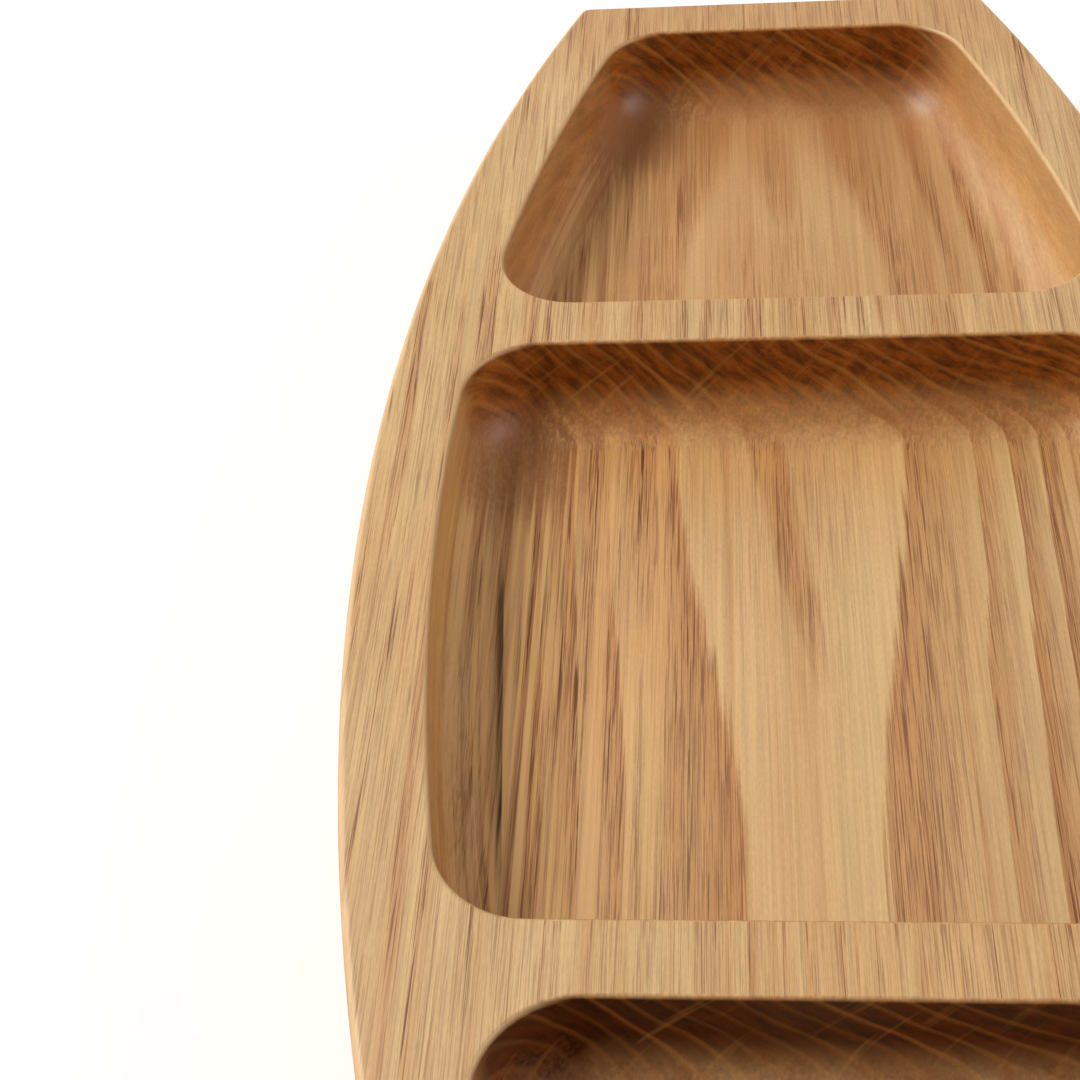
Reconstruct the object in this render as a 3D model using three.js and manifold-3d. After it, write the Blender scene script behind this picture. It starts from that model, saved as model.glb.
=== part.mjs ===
// Divided serving platter: one oak board with bowed sides, hollowed into three trays in a row, on four
// screw-on rubber feet. Millimetres, +Z up, +Y from the near end to the far end.
// The origin lies on the table, under the middle of the board.
import * as THREE from "three";
import { mergeVertices } from "three/addons/utils/BufferGeometryUtils.js";
import Module from "manifold-3d";

// Board
const WIDTH = 144; // at the widest point, half way along
const SIDE_RADIUS = 440; // bow of the two long sides, in plan
const FLOOR = 8; // wood left under the trays
const BOARD_CORNER = 2.5; // plan radius where a side meets an end
const BOARD_EASE = 1.4; // rounding of the board's outer edges

// Trays, cut with one round-cornered cutter
const NEAR_TRAY = 53.5; // lengths along Y, rim to rim
const MIDDLE_TRAY = 120;
const FAR_TRAY = 93.5;
const TRAY_DEPTH = 18;
const TRAY_CORNER = 14; // plan radius of the tray corners: the cutter's own radius
const COVE = 10; // rounding between wall and floor: the cutter's bottom radius
const SIDE_RIM = 13; // wood beside the trays
const DIVIDER = 12; // wood between two trays
const END_WALL = 12; // wood beyond the first and the last tray
const RIM_EASE = 0.8; // rounding of the tray rims

// Feet, with a washer and a screw in each
const FOOT_HEIGHT = 5;
const FOOT_TOP_RADIUS = 7; // against the board
const FOOT_BASE_RADIUS = 6; // on the table
const FOOT_EASE = 0.8;
const FOOT_WEB = 1.4; // rubber between the washer and the board
const FOOT_FROM_END = 62;
const FOOT_FROM_SIDE = 16;
const WASHER_RADIUS = 3.5;
const WASHER_THICKNESS = 0.6;
const SHANK_RADIUS = 1.5;
const HEAD_RADIUS = 2.8;
const HEAD_HEIGHT = 1.9;
const SCREW_POINT = 1.8; // length of the screw's tapered tip
const SCREW_COVER = 2; // wood left between the screw's tip and the level of the tray floors
const FIT_GAP = 0.3; // clearance round the shank and the washer, and ahead of the screw's tip

// Facets
const SIDE_FACET = 9; // longest step along a bowed side
const CORNER_STEPS = 7;
const COVE_STEPS = 6;
const EASE_STEPS = 2;
const TURNED_STEPS = 24; // round a foot, washer or screw
const OVERCUT = 2; // how far a cutter reaches past the face that it opens

const OAK = { color: 0xbf9360, roughness: 0.5, metalness: 0 };
const RUBBER = { color: 0x26241f, roughness: 0.85, metalness: 0 };
const STEEL = { color: 0xb9bcc0, roughness: 0.35, metalness: 1 };

const LENGTH = NEAR_TRAY + MIDDLE_TRAY + FAR_TRAY + 2 * DIVIDER + 2 * END_WALL;
const UNDERSIDE = FOOT_HEIGHT;
const TRAY_FLOOR = UNDERSIDE + FLOOR;
const TOP = TRAY_FLOOR + TRAY_DEPTH;
const SIDE_CENTRE = WIDTH / 2 - SIDE_RADIUS; // X of the centre of the +X side's arc

const wasm = await Module();
wasm.setup();

// Half the board's width at y
function halfWidth(y) {
  return SIDE_CENTRE + Math.sqrt(SIDE_RADIUS ** 2 - y ** 2);
}

// Angles from one to the other in equal steps, both ends included
function sweep(from, to, steps) {
  return Array.from({ length: steps + 1 }, (_, i) => from + ((to - from) * i) / steps);
}

function arc(x, y, radius, angles) {
  return angles.map((a) => new THREE.Vector2(x + radius * Math.cos(a), y + radius * Math.sin(a)));
}

// An outline with bowed sides and straight ends, counter-clockwise from above. Its sides lie inset inside the
// board's own, and grow moves the whole outline outwards.
function bowedOutline({ near, far, inset, corner }, grow) {
  const reach = SIDE_RADIUS - inset + grow;
  const radius = corner + grow;
  const turn = (y) => Math.asin(y / (reach - radius)); // where a side's arc goes over into a corner's
  const nearY = near - grow + radius;
  const farY = far + grow - radius;
  const cornerX = (y) => SIDE_CENTRE + (reach - radius) * Math.cos(turn(y));
  // An even number of steps puts a vertex at the board's widest point
  const sideSteps = 2 * Math.ceil((far - near) / (2 * SIDE_FACET));
  const right = [
    ...arc(cornerX(nearY), nearY, radius, sweep(-Math.PI / 2, turn(nearY), CORNER_STEPS)),
    ...arc(SIDE_CENTRE, 0, reach, sweep(turn(nearY), turn(farY), sideSteps)).slice(1, -1),
    ...arc(cornerX(farY), farY, radius, sweep(turn(farY), Math.PI / 2, CORNER_STEPS)),
  ];
  const left = right.map((p) => new THREE.Vector2(-p.x, p.y)).reverse();
  return [...right, ...left];
}

// A closed solid through a stack of rings, lowest first, each with the same number of points
function loft(rings) {
  const count = rings[0].points.length;
  const position = rings.flatMap(({ points, z }) => points.flatMap((p) => [p.x, p.y, z]));
  const cap = THREE.ShapeUtils.triangulateShape(rings[0].points, []);
  const last = count * (rings.length - 1);
  const index = cap.flatMap(([a, b, c]) => [a, c, b, last + a, last + b, last + c]);
  for (let base = 0; base < last; base += count) {
    for (let i = 0; i < count; i++) {
      const a = base + i;
      const b = base + ((i + 1) % count);
      index.push(a, b, b + count, a, b + count, a + count);
    }
  }
  const geometry = new THREE.BufferGeometry();
  geometry.setAttribute("position", new THREE.Float32BufferAttribute(position, 3));
  return geometry.setIndex(index);
}

function toSolid(geometry) {
  const bare = geometry.clone();
  bare.deleteAttribute("normal");
  bare.deleteAttribute("uv");
  const merged = mergeVertices(bare);
  const vertProperties = merged.attributes.position.array;
  const triVerts = Uint32Array.from(merged.index.array);
  return new wasm.Manifold(new wasm.Mesh({ numProp: 3, vertProperties, triVerts }));
}

function toGeometry(solid) {
  const { vertProperties, triVerts } = solid.getMesh();
  const geometry = new THREE.BufferGeometry();
  geometry.setAttribute("position", new THREE.BufferAttribute(vertProperties, 3));
  geometry.setIndex(new THREE.BufferAttribute(triVerts, 1));
  geometry.computeVertexNormals();
  return geometry;
}

// A body turned about Z. The profile holds radius and height, upwards along its outside.
function turned(profile) {
  const points = profile.map(([radius, z]) => new THREE.Vector2(radius, z));
  return new THREE.LatheGeometry(points, TURNED_STEPS).rotateX(Math.PI / 2);
}

// The blank before the trays are cut, with all its outer edges eased
function boardBlank() {
  const plan = { near: -LENGTH / 2, far: LENGTH / 2, inset: 0, corner: BOARD_CORNER };
  const quarter = sweep(0, Math.PI / 2, EASE_STEPS);
  const ring = (angle, z) => ({ points: bowedOutline(plan, -BOARD_EASE * (1 - Math.cos(angle))), z });
  const lower = quarter.toReversed().map((a) => ring(a, UNDERSIDE + BOARD_EASE * (1 - Math.sin(a))));
  const upper = quarter.map((a) => ring(a, TOP - BOARD_EASE * (1 - Math.sin(a))));
  return loft([...lower, ...upper]);
}

// The space inside one tray: flat floor, coved foot, upright wall, and a rim that rolls over outwards
function trayHollow(near, far) {
  const plan = { near, far, inset: SIDE_RIM, corner: TRAY_CORNER };
  const cove = sweep(0, Math.PI / 2, COVE_STEPS).map((a) => ({
    points: bowedOutline(plan, -COVE * (1 - Math.sin(a))),
    z: TRAY_FLOOR + COVE * (1 - Math.cos(a)),
  }));
  const rim = sweep(0, Math.PI / 2, EASE_STEPS).map((a) => ({
    points: bowedOutline(plan, RIM_EASE * (1 - Math.cos(a))),
    z: TOP - RIM_EASE * (1 - Math.sin(a)),
  }));
  const mouth = { points: rim.at(-1).points, z: TOP + OVERCUT };
  return loft([...cove, ...rim, mouth]);
}

// Near and far edge of each tray, from the near end on
function trayEdges() {
  let edge = -LENGTH / 2 + END_WALL;
  return [NEAR_TRAY, MIDDLE_TRAY, FAR_TRAY].map((length) => {
    const near = edge;
    edge = near + length + DIVIDER;
    return [near, near + length];
  });
}

// Where the feet stand, two at each end
function footPlaces() {
  const y = LENGTH / 2 - FOOT_FROM_END;
  const x = halfWidth(y) - FOOT_FROM_SIDE;
  return [
    { name: "near_left", x: -x, y: -y },
    { name: "near_right", x, y: -y },
    { name: "far_left", x: -x, y },
    { name: "far_right", x, y },
  ];
}

const WASHER_SEAT = UNDERSIDE - FOOT_WEB;
const HEAD_SEAT = WASHER_SEAT - WASHER_THICKNESS;
const SCREW_TIP = TRAY_FLOOR - SCREW_COVER;

// Clearance hole in the board for one screw
function pilotHole({ x, y }) {
  const radius = SHANK_RADIUS + FIT_GAP;
  const profile = [
    [0, UNDERSIDE - OVERCUT],
    [radius, UNDERSIDE - OVERCUT],
    [radius, SCREW_TIP + FIT_GAP],
    [0, SCREW_TIP + FIT_GAP],
  ];
  return turned(profile).translate(x, y, 0);
}

function platterBody() {
  const hollows = trayEdges().map(([near, far]) => trayHollow(near, far));
  const holes = footPlaces().map(pilotHole);
  let wood = toSolid(boardBlank());
  for (const cutter of [...hollows, ...holes]) wood = wood.subtract(toSolid(cutter));
  return toGeometry(wood);
}

// Tapered rubber foot with a counterbore from below and a hole through the web above it
function foot() {
  const bore = WASHER_RADIUS + FIT_GAP;
  const hole = SHANK_RADIUS + FIT_GAP;
  const roll = sweep(-Math.PI / 2, 0, EASE_STEPS).map((a) => [
    FOOT_BASE_RADIUS - FOOT_EASE * (1 - Math.cos(a)),
    FOOT_EASE * (1 + Math.sin(a)),
  ]);
  return turned([
    [bore, 0],
    ...roll,
    [FOOT_TOP_RADIUS, FOOT_HEIGHT],
    [hole, FOOT_HEIGHT],
    [hole, WASHER_SEAT],
    [bore, WASHER_SEAT],
    [bore, 0],
  ]);
}

function washer() {
  const hole = SHANK_RADIUS + FIT_GAP;
  return turned([
    [hole, HEAD_SEAT],
    [WASHER_RADIUS, HEAD_SEAT],
    [WASHER_RADIUS, WASHER_SEAT],
    [hole, WASHER_SEAT],
    [hole, HEAD_SEAT],
  ]);
}

// Pan-head screw, head down, with a domed underside
function screw() {
  const dome = sweep(0, Math.PI / 2, 2 * EASE_STEPS).map((a) => [
    HEAD_RADIUS * Math.sin(a),
    HEAD_SEAT - (HEAD_HEIGHT * (1 + Math.cos(a))) / 2,
  ]);
  return turned([
    ...dome,
    [HEAD_RADIUS, HEAD_SEAT],
    [SHANK_RADIUS, HEAD_SEAT],
    [SHANK_RADIUS, SCREW_TIP - SCREW_POINT],
    [0, SCREW_TIP],
  ]);
}

function piece(name, geometry, finish) {
  const mesh = new THREE.Mesh(geometry, new THREE.MeshStandardMaterial(finish));
  mesh.name = name;
  return mesh;
}

const platter = new THREE.Group();
platter.add(piece("platter_body", platterBody(), OAK));
for (const { name, x, y } of footPlaces()) {
  const stand = new THREE.Group();
  stand.add(piece(`foot_${name}`, foot(), RUBBER));
  stand.add(piece(`washer_${name}`, washer(), STEEL));
  stand.add(piece(`screw_${name}`, screw(), STEEL));
  stand.position.set(x, y, 0);
  platter.add(stand);
}

export default platter;
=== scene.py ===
from math import asin, cos, pi, radians, sin, sqrt
from types import SimpleNamespace

import bmesh
import bpy
from mathutils import Matrix, Vector


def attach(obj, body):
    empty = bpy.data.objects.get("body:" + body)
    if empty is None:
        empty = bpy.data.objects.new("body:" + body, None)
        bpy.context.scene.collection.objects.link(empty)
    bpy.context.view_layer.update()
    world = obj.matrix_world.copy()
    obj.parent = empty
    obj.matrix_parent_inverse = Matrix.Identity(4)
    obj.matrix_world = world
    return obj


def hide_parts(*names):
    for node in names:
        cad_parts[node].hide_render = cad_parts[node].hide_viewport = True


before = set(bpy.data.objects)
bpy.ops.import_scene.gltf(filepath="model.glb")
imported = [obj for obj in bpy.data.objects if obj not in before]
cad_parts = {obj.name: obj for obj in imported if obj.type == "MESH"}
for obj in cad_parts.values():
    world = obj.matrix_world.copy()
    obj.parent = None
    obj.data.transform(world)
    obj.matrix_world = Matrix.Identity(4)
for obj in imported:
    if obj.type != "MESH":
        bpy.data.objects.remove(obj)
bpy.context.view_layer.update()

MM = 0.001

# Board and trays, in millimetres, as in the part's source
WIDTH = 144
SIDE_RADIUS = 440
FLOOR = 8
BOARD_CORNER = 2.5
BOARD_EASE = 1.4
NEAR_TRAY = 53.5
MIDDLE_TRAY = 120
FAR_TRAY = 93.5
TRAY_DEPTH = 18
TRAY_CORNER = 14
COVE = 10
SIDE_RIM = 13
DIVIDER = 12
END_WALL = 12
RIM_EASE = 0.8

# Feet with their washers and screws
FOOT_HEIGHT = 5
FOOT_TOP_RADIUS = 7
FOOT_BASE_RADIUS = 6
FOOT_EASE = 0.8
FOOT_LIP = 0.3
FOOT_WEB = 1.4
FOOT_FROM_END = 62
FOOT_FROM_SIDE = 16
WASHER_RADIUS = 3.5
WASHER_THICKNESS = 0.6
WASHER_EASE = 0.12
SHANK_RADIUS = 1.5
HEAD_RADIUS = 2.8
HEAD_HEIGHT = 1.9
SCREW_POINT = 1.8
SCREW_COVER = 2
FIT_GAP = 0.3
RECESS_ARM = 1.5
RECESS_HALF_WIDTH = 0.36
RECESS_DEPTH = 1.0
RECESS_TAPER = 0.55

LENGTH = NEAR_TRAY + MIDDLE_TRAY + FAR_TRAY + 2 * DIVIDER + 2 * END_WALL
UNDERSIDE = FOOT_HEIGHT
TRAY_FLOOR = UNDERSIDE + FLOOR
TOP = TRAY_FLOOR + TRAY_DEPTH
SIDE_CENTRE = WIDTH / 2 - SIDE_RADIUS
WASHER_SEAT = UNDERSIDE - FOOT_WEB
HEAD_SEAT = WASHER_SEAT - WASHER_THICKNESS
SCREW_TIP = TRAY_FLOOR - SCREW_COVER
FOOT_Y = LENGTH / 2 - FOOT_FROM_END
FOOT_X = SIDE_CENTRE + sqrt(SIDE_RADIUS**2 - FOOT_Y**2) - FOOT_FROM_SIDE
BORE_RADIUS = WASHER_RADIUS + FIT_GAP
HOLE_RADIUS = SHANK_RADIUS + FIT_GAP

# Fineness of the meshes
SIDE_STEP = 3
CORNER_STEPS = 14
EASE_STEPS = 6
COVE_STEPS = 20
HOLE_STEPS = 24
TURNED_STEPS = 48
QUARTER_STEPS = 5
DOME_STEPS = 12
WELD_DISTANCE = 0.01
LEVEL_TOLERANCE = 0.001
SHARP_ANGLE = radians(32)

# The tree that the board was cut from. Its rings draw long arches about the middle of the tray floors,
# and lean over to the left above them. On end grain they turn about a pith of their own, up on the right.
ARCH_HEIGHT = 91
ARCH_LEAN = 1.7
FIRST_YEAR = 92.8
PITH_X = 85
PITH_Z = 128
PITH_DISTANCE = 145
YEAR_WIDTH = 3.5

# Tongues of pores on the floors of the middle and the far tray
TONGUES = (
    dict(slant=0.123, shift=0.2, tip=-40.0, root=15.0, end=45.0, width=5.5, strength=0.75),
    dict(slant=0.1, shift=-11.0, tip=78.0, root=125.0, end=150.0, width=6.5, strength=0.6),
)

# The line of mineral stain in the left cove of the middle tray
STAIN_X = -50.7
STAIN_SLANT = 0.068


def linear(red, green, blue):
    """A colour given in 8-bit display values, for a shader socket."""

    def decoded(level):
        share = level / 255
        return ((share + 0.055) / 1.055) ** 2.4 if level > 10 else share / 12.92

    return (decoded(red), decoded(green), decoded(blue), 1)


# Oak cut along the grain
LATE_WOOD = linear(198, 160, 111)
PALE_LATE_WOOD = linear(206, 173, 126)
# Darker late wood: oil along the left of the trays, painted shade towards their far end
SOAKED_AND_SHADED_LATE_WOOD = linear(188, 142, 93)
EARLY_WOOD = linear(174, 121, 72)
OPEN_PORE = linear(94, 44, 4)
PALE_FIBRE = linear(217, 172, 114)
STAINED_FIBRE = linear(140, 84, 46)
MINERAL_STAIN = linear(58, 30, 10)
# Far-left tray corners: oil and painted shade
OILY_SHADED_CORNER = linear(138, 88, 54)
# Painted highlight of the rolled rims
RIM_HIGHLIGHT = linear(216, 178, 128)

# Oak cut across the grain
SHADED_END_WOOD = linear(131, 69, 17)
PALE_SHADED_END_WOOD = linear(155, 88, 26)
SHADED_NEAR_END_WOOD = linear(80, 33, 2)
OUTER_END_WOOD = linear(162, 108, 60)
RING_LINE = linear(190, 128, 62)
RAY = linear(196, 138, 74)
END_PORE = linear(80, 40, 10)
OUTER_END_PORE = linear(130, 84, 42)

# Tints of the oil, and of painted shade and bounce light
NO_TINT = (1, 1, 1, 1)
WALL_OIL_AND_SHADE_TINT = (1.0, 0.9, 0.72, 1)
END_COVE_OIL_AND_SHADE_TINT = (1.0, 0.92, 0.81, 1)
BOUNCE_LIGHT_TINT = (0.96, 0.89, 0.74, 1)
FAR_WALL_SHADE_TINT = (0.86, 0.78, 0.7, 1)

# Light of the studio, and the floor in metres
ROOM_LIGHT = 0.22
HORIZON_LIGHT = 0.98
HORIZON_WHITE = (0.98, 0.98, 0.975, 1)
STAGE_SIZE = 30
SHADOW_REACH = 0.3
WHITE_FROM = 1.1


class Nodes:
    """Lays nodes into one tree. A value is a socket to link or a constant to set."""

    def __init__(self, tree):
        self.tree = tree

    def put(self, socket, value):
        if isinstance(value, bpy.types.NodeSocket):
            self.tree.links.new(value, socket)
        else:
            socket.default_value = value

    def add(self, kind, values=None, **settings):
        node = self.tree.nodes.new(kind)
        for name, setting in settings.items():
            setattr(node, name, setting)
        for key, value in (values or {}).items():
            self.put(node.inputs[key], value)
        return node

    def math(self, operation, *values, clamp=False):
        node = self.add("ShaderNodeMath", operation=operation, use_clamp=clamp)
        for socket, value in zip(node.inputs, values):
            self.put(socket, value)
        return node.outputs[0]

    def product(self, first, *others):
        for other in others:
            first = self.math("MULTIPLY", first, other)
        return first

    def minus(self, value, mask, share):
        """The value less a share of the mask."""
        return self.math("MULTIPLY_ADD", mask, -share, value)

    def less(self, value, mask, share):
        """The value, lowered by a share of itself where the mask is 1."""
        return self.product(value, self.minus(1.0, mask, share))

    def distance(self, across, up):
        """Length of a line from its two sides."""
        return self.math("SQRT", self.math("MULTIPLY_ADD", across, across, self.math("MULTIPLY", up, up)))

    def ramp(self, value, start, end, low=0.0, high=1.0):
        """Goes smoothly from low to high while the value goes from start to end."""
        values = {"Value": value, "From Min": start, "From Max": end, "To Min": low, "To Max": high}
        return self.add("ShaderNodeMapRange", values, interpolation_type="SMOOTHSTEP").outputs["Result"]

    def noise(self, vector, detail=2.0, roughness=0.5):
        values = {"Vector": vector, "Scale": 1.0, "Detail": detail, "Roughness": roughness}
        return self.add("ShaderNodeTexNoise", values).outputs["Fac"]

    def grain(self, point, across, along, up, detail=2.0, roughness=0.5):
        """Noise that changes at its own rate across, along and up the board."""
        rates = (across, along, up)
        drawn_out = self.add("ShaderNodeVectorMath", {0: point, 1: rates}, operation="MULTIPLY")
        return self.noise(drawn_out.outputs["Vector"], detail, roughness)

    def mix(self, factor, first, second, blend="MIX"):
        node = self.add("ShaderNodeMix", data_type="RGBA", blend_type=blend)
        for socket, value in zip((node.inputs[0], node.inputs[6], node.inputs[7]), (factor, first, second)):
            self.put(socket, value)
        return node.outputs[2]

    def tinted(self, colour, mask, tint):
        """The colour, multiplied by a tint where the mask is 1."""
        return self.mix(mask, colour, self.mix(1.0, colour, tint, "MULTIPLY"))


def new_tree(name, kind, inputs, outputs):
    """An empty node group with its sockets: the tree, a layer of nodes, and the sockets inside it."""
    tree = bpy.data.node_groups.new(name, kind)
    for label, socket_type in inputs:
        tree.interface.new_socket(label, in_out="INPUT", socket_type=socket_type)
    for label, socket_type in outputs:
        tree.interface.new_socket(label, in_out="OUTPUT", socket_type=socket_type)
    nodes = Nodes(tree)
    return tree, nodes, nodes.add("NodeGroupInput").outputs, nodes.add("NodeGroupOutput").inputs


# Shapes


def shown(name, data):
    piece = bpy.data.objects.new(name, data)
    bpy.context.scene.collection.objects.link(piece)
    return piece


def made_plain(maker, name):
    """The mesh that an object's modifiers make of it, as an object of its own. The maker is removed."""
    evaluated = maker.evaluated_get(bpy.context.evaluated_depsgraph_get())
    mesh = bpy.data.meshes.new_from_object(evaluated)
    mesh.name = name
    bpy.data.objects.remove(maker)
    return shown(name, mesh)


def run_tree(maker, tree, values):
    """Puts a Geometry Nodes tree on an object, with the values of its named inputs."""
    modifier = maker.modifiers.new(tree.name, "NODES")
    modifier.node_group = tree
    for item in tree.interface.items_tree:
        if item.in_out == "INPUT" and item.name in values:
            modifier[item.identifier] = values[item.name]


def end_tree(nodes, geometry, finish, output):
    """The last nodes of a Geometry Nodes tree: instances made real, and the finish set on them."""
    whole = nodes.add("GeometryNodeRealizeInstances", {"Geometry": geometry}).outputs[0]
    finished = nodes.add("GeometryNodeSetMaterial", {"Geometry": whole, "Material": finish}).outputs[0]
    nodes.put(output, finished)


def circle(x, y, z, radius, steps):
    """Places in metres round an upright axis, from sizes in millimetres."""
    turns = [2 * pi * i / steps for i in range(steps)]
    return [Vector((x + radius * cos(a), y + radius * sin(a), z)) * MM for a in turns]


def arc(x, y, radius, start, end, steps):
    """Points of an arc, both ends included."""
    angles = [start + (end - start) * i / steps for i in range(steps + 1)]
    return [(x + radius * cos(a), y + radius * sin(a)) for a in angles]


def bowed_outline(near, far, inset, corner):
    """Plan outline with bowed sides and straight ends, counter-clockwise from above, in millimetres."""
    reach = SIDE_RADIUS - inset
    near_y, far_y = near + corner, far - corner
    side_steps = 2 * round((far - near) / (2 * SIDE_STEP))

    def turn(y):
        return asin(y / (reach - corner))

    def corner_arc(y, start, end):
        x = SIDE_CENTRE + (reach - corner) * cos(turn(y))
        return arc(x, y, corner, start, end, CORNER_STEPS)

    right = corner_arc(near_y, -pi / 2, turn(near_y))
    right += arc(SIDE_CENTRE, 0, reach, turn(near_y), turn(far_y), side_steps)[1:-1]
    right += corner_arc(far_y, turn(far_y), pi / 2)
    return right + [(-x, y) for x, y in reversed(right)]


def swept_edge_tree():
    """Sweeps a wall along an outline: a rolled rim on top, an upright part, and a rounded foot below."""
    tree, nodes, given, made = new_tree(
        "swept_edge",
        "GeometryNodeTree",
        [
            ("Outline", "NodeSocketGeometry"),
            ("Depth", "NodeSocketFloat"),
            ("Rim Radius", "NodeSocketFloat"),
            ("Rim Side", "NodeSocketFloat"),
            ("Foot Radius", "NodeSocketFloat"),
            ("Rim Steps", "NodeSocketInt"),
            ("Foot Steps", "NodeSocketInt"),
            ("Finish", "NodeSocketMaterial"),
        ],
        [("Wall", "NodeSocketGeometry")],
    )

    def placed_arc(radius, steps, start, across, down, side):
        points = nodes.math("ADD", steps, 1)
        sweep = -pi / 2 if start < 0 else pi / 2
        values = {"Resolution": points, "Radius": radius, "Start Angle": start, "Sweep Angle": sweep}
        bend = nodes.add("GeometryNodeCurveArc", values).outputs["Curve"]
        shift = nodes.add("ShaderNodeCombineXYZ", {"X": across, "Y": down}).outputs[0]
        moved = nodes.add("GeometryNodeTransform", {"Geometry": bend, "Translation": shift}).outputs[0]
        mirror = nodes.add("ShaderNodeCombineXYZ", {"X": side, "Y": 1.0, "Z": 1.0}).outputs[0]
        return nodes.add("GeometryNodeTransform", {"Geometry": moved, "Scale": mirror}).outputs[0]

    # The profile lies with X outwards and Y downwards from the rim
    rim_radius, foot_radius = given["Rim Radius"], given["Foot Radius"]
    foot_down = nodes.math("SUBTRACT", given["Depth"], foot_radius)
    foot_across = nodes.math("MULTIPLY", foot_radius, -1.0)
    rim = placed_arc(rim_radius, given["Rim Steps"], -pi / 2, rim_radius, rim_radius, given["Rim Side"])
    foot = placed_arc(foot_radius, given["Foot Steps"], 0.0, foot_across, foot_down, 1.0)
    upper = nodes.add("ShaderNodeCombineXYZ", {"Y": rim_radius}).outputs[0]
    lower = nodes.add("ShaderNodeCombineXYZ", {"Y": foot_down}).outputs[0]
    upright = nodes.add("GeometryNodeCurvePrimitiveLine", {"Start": upper, "End": lower}).outputs[0]
    joined = nodes.add("GeometryNodeJoinGeometry")
    for part in (rim, upright, foot):
        nodes.put(joined.inputs[0], part)
    profile = joined.outputs[0]
    path = nodes.add("GeometryNodeSetCurveNormal", {"Curve": given["Outline"]}, mode="Z_UP").outputs[0]
    wall = nodes.add("GeometryNodeCurveToMesh", {"Curve": path, "Profile Curve": profile}).outputs[0]
    weld = {"Geometry": wall, "Distance": WELD_DISTANCE * MM}
    welded = nodes.add("GeometryNodeMergeByDistance", weld).outputs[0]
    end_tree(nodes, welded, given["Finish"], made["Wall"])
    return tree


def swept_edge(tree, name, outline, values):
    """One swept wall as a mesh, hung from the top of the board."""
    curve = bpy.data.curves.new(name, "CURVE")
    curve.dimensions = "3D"
    path = curve.splines.new("POLY")
    path.points.add(len(outline) - 1)
    for point, (x, y) in zip(path.points, outline):
        point.co = (x * MM, y * MM, TOP * MM, 1)
    path.use_cyclic_u = True
    maker = shown(name + "_path", curve)
    run_tree(maker, tree, values)
    return made_plain(maker, name)


def tray_edges():
    """Near and far edge of each tray, from the near end on."""
    edge = -LENGTH / 2 + END_WALL
    for length in (NEAR_TRAY, MIDDLE_TRAY, FAR_TRAY):
        yield edge, edge + length
        edge += length + DIVIDER


def board_walls(finish):
    """The swept outer edge of the board, and the swept wall of each tray."""
    tree = swept_edge_tree()
    outer_edge = {
        "Depth": (TOP - UNDERSIDE) * MM,
        "Rim Radius": BOARD_EASE * MM,
        "Rim Side": -1.0,
        "Foot Radius": BOARD_EASE * MM,
        "Rim Steps": EASE_STEPS,
        "Foot Steps": EASE_STEPS,
        "Finish": finish,
    }
    tray_wall = {
        "Depth": TRAY_DEPTH * MM,
        "Rim Radius": RIM_EASE * MM,
        "Rim Side": 1.0,
        "Foot Radius": COVE * MM,
        "Rim Steps": EASE_STEPS,
        "Foot Steps": COVE_STEPS,
        "Finish": finish,
    }
    outline = bowed_outline(-LENGTH / 2, LENGTH / 2, 0, BOARD_CORNER)
    walls = [swept_edge(tree, "board_edge", outline, outer_edge)]
    for near, far in tray_edges():
        outline = bowed_outline(near, far, SIDE_RIM, TRAY_CORNER)
        walls.append(swept_edge(tree, "tray_wall", outline, tray_wall))
    return walls


def screw_hole(wood, x, y):
    """A blind hole in the underside, left open below until the underside is filled in."""
    mouth, end = (
        [wood.verts.new(place) for place in circle(x, y, z, HOLE_RADIUS, HOLE_STEPS)]
        for z in (UNDERSIDE, SCREW_TIP + FIT_GAP)
    )
    for i in range(HOLE_STEPS):
        j = (i + 1) % HOLE_STEPS
        wood.faces.new((mouth[i], mouth[j], end[j], end[i]))
    wood.faces.new(end)


def platter_body(finish):
    """The whole board: the swept walls, the screw holes, and the flats between them."""
    walls = board_walls(finish)
    wood = bmesh.new()
    for wall in walls:
        wood.from_mesh(wall.data)
    for side in (-1, 1):
        for end in (-1, 1):
            screw_hole(wood, side * FOOT_X, end * FOOT_Y)

    def lies_at(edge, z):
        return all(abs(corner.co.z - z * MM) < LEVEL_TOLERANCE * MM for corner in edge.verts)

    for z in (TOP, TRAY_FLOOR, UNDERSIDE):
        open_edges = [edge for edge in wood.edges if edge.is_boundary and lies_at(edge, z)]
        bmesh.ops.triangle_fill(wood, edges=open_edges, use_beauty=True, normal=(0, 0, 1))
    bmesh.ops.recalc_face_normals(wood, faces=wood.faces)
    # The mesh of the first wall takes in the whole board, because it has the finish
    mesh = walls[0].data
    wood.to_mesh(mesh)
    wood.free()
    for wall in walls:
        bpy.data.objects.remove(wall)
    mesh.shade_smooth()
    maker = shown("board_blank", mesh)
    even = maker.modifiers.new("even_normals", "WEIGHTED_NORMAL")
    even.mode = "FACE_AREA"
    return made_plain(maker, "platter_board")


def smooth_but_sharp(mesh):
    mesh.shade_smooth()
    mesh.set_sharp_from_angle(angle=SHARP_ANGLE)


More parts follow.
